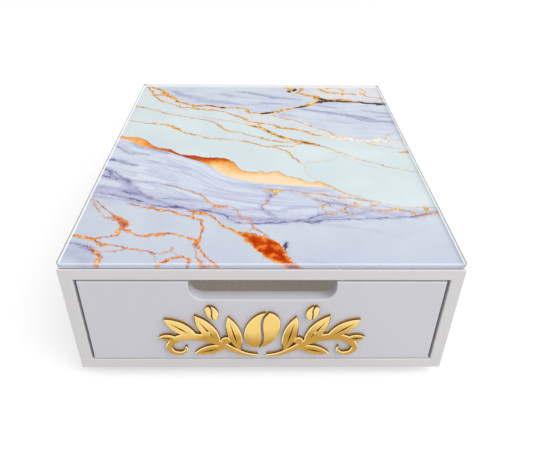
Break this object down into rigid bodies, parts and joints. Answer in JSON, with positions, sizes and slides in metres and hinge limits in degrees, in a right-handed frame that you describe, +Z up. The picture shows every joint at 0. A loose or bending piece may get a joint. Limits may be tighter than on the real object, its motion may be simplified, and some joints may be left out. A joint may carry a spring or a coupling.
{
  "type": "coffee capsule drawer",
  "caption": "Low countertop box with a marble-print glass top and one inset drawer with a finger notch, on ball-bearing slides, for coffee capsules.",
  "frame": {"origin": "on the table, in the middle of the case's footprint", "axes": "+Z up, +Y to the back (the drawer opens along -Y), +X to the right as seen from the front"},
  "size_m": [0.27, 0.333, 0.11],
  "materials": {
    "lacquered_board": "satin white lacquer",
    "drawer_board": "satin white lacquer",
    "hardboard": "matte",
    "glass": "polished",
    "marble_print": "printed marble pattern",
    "tape": "matte",
    "rubber": "matte",
    "steel_fasteners": "zinc plated",
    "rail_steel": "zinc plated",
    "cage_steel": "pressed steel",
    "ball_steel": "polished",
    "dowel_wood": "bare beech",
    "felt": "felt",
    "gold_mirror": "gold mirror acrylic"
  },
  "bodies": {
    "case": {"back_panel_brads": "steel_fasteners", "case_back_panel": "hardboard", "case_bottom_panel": "lacquered_board", "case_left_side": "lacquered_board", "case_right_side": "lacquered_board", "case_top_panel": "lacquered_board", "foot_screws": "steel_fasteners", "glass_print": "marble_print", "glass_tape": "tape", "glass_top": "glass", "left_outer_rail": "rail_steel", "left_outer_rail_screws": "steel_fasteners", "right_outer_rail": "rail_steel", "right_outer_rail_screws": "steel_fasteners", "rubber_feet": "rubber"},
    "drawer": {"drawer_front": "lacquered_board", "drawer_left_side": "drawer_board", "drawer_right_side": "drawer_board", "drawer_back": "drawer_board", "drawer_floor": "hardboard", "drawer_dowels": "dowel_wood", "drawer_stop_pads": "felt", "left_inner_rail": "rail_steel", "right_inner_rail": "rail_steel", "left_inner_rail_screws": "steel_fasteners", "right_inner_rail_screws": "steel_fasteners", "ornament_bean": "gold_mirror", "ornament_scrolls": "gold_mirror", "ornament_small_beans": "gold_mirror"},
    "left_cage": {"left_ball_cage": "cage_steel", "left_slide_balls": "ball_steel"},
    "right_cage": {"right_ball_cage": "cage_steel", "right_slide_balls": "ball_steel"}
  },
  "joints": [
    {"name": "drawer_slide", "type": "slide", "parent": "case", "child": "drawer", "axis": [0, -1, 0], "range_m": [0, 0.22]},
    {"name": "left_cage_roll", "type": "slide", "parent": "case", "child": "left_cage", "axis": [0, -1, 0], "range_m": [0, 0.11]},
    {"name": "right_cage_roll", "type": "slide", "parent": "case", "child": "right_cage", "axis": [0, -1, 0], "range_m": [0, 0.11]}
  ],
  "couplings": [
    {"joint": "left_cage_roll", "follows": "drawer_slide", "ratio": 0.5},
    {"joint": "right_cage_roll", "follows": "drawer_slide", "ratio": 0.5}
  ]
}
